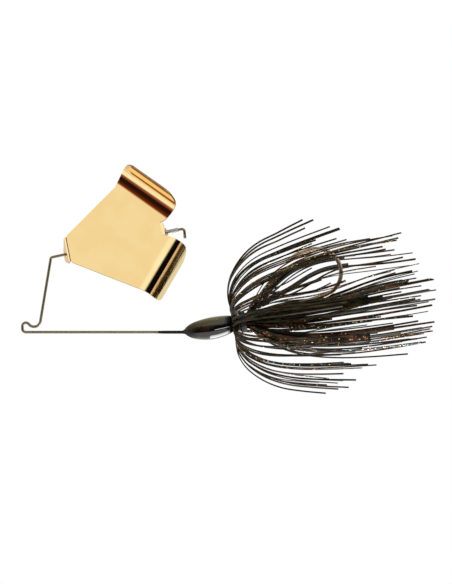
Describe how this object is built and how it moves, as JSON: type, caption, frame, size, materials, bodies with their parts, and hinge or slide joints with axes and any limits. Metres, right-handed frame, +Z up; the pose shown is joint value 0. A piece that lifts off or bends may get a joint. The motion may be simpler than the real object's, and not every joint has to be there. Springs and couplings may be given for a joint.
{
  "type": "buzzbait fishing lure",
  "caption": "Topwater buzzbait: bent wire frame with a spinning two-winged blade, a painted lead head, a single hook and a flared strand skirt.",
  "frame": {"origin": "the line tie: the middle of the open bend at the front of the wire, where the fishing line is tied", "axes": "+X rearward along the lure, +Z up in the water with the blade above the hook, +Y the lure's right-hand side"},
  "size_m": [0.1484, 0.063, 0.0828],
  "materials": {
    "wire": "drawn stainless spring wire",
    "hook": "bronzed, lacquered",
    "head_paint": "gloss black with an olive back",
    "blade": "gold mirror",
    "rivet": "plain, as upset",
    "collar": "matt",
    "skirt": "dark olive silicone with copper flake"
  },
  "bodies": {
    "lure": {"wire_frame": "wire", "hook": "hook", "lead_head": "head_paint", "skirt_collar": "collar", "skirt_lock_01": "skirt", "skirt_lock_02": "skirt", "skirt_lock_03": "skirt", "skirt_lock_04": "skirt", "skirt_lock_05": "skirt", "skirt_lock_06": "skirt", "skirt_lock_07": "skirt", "skirt_lock_08": "skirt", "skirt_lock_09": "skirt", "skirt_lock_10": "skirt", "skirt_lock_11": "skirt", "skirt_lock_12": "skirt", "skirt_lock_13": "skirt", "skirt_lock_14": "skirt", "skirt_lock_15": "skirt", "skirt_lock_16": "skirt", "skirt_lock_17": "skirt", "skirt_lock_18": "skirt", "skirt_lock_19": "skirt", "skirt_lock_20": "skirt", "skirt_lock_21": "skirt", "skirt_lock_22": "skirt", "skirt_lock_23": "skirt", "skirt_lock_24": "skirt"},
    "rivet": {"rear_rivet": "rivet"},
    "blade": {"buzz_blade": "blade"}
  },
  "joints": [
    {"name": "rivet_slide", "type": "slide", "parent": "lure", "child": "rivet", "axis": [-0.9772, 0, -0.2122], "range_m": [0, 0.004]},
    {"name": "blade_spin", "type": "hinge", "parent": "rivet", "child": "blade", "pos_m": [0.01388, 0, 0.02655], "axis": [0.9772, 0, 0.2122], "continuous": true}
  ]
}
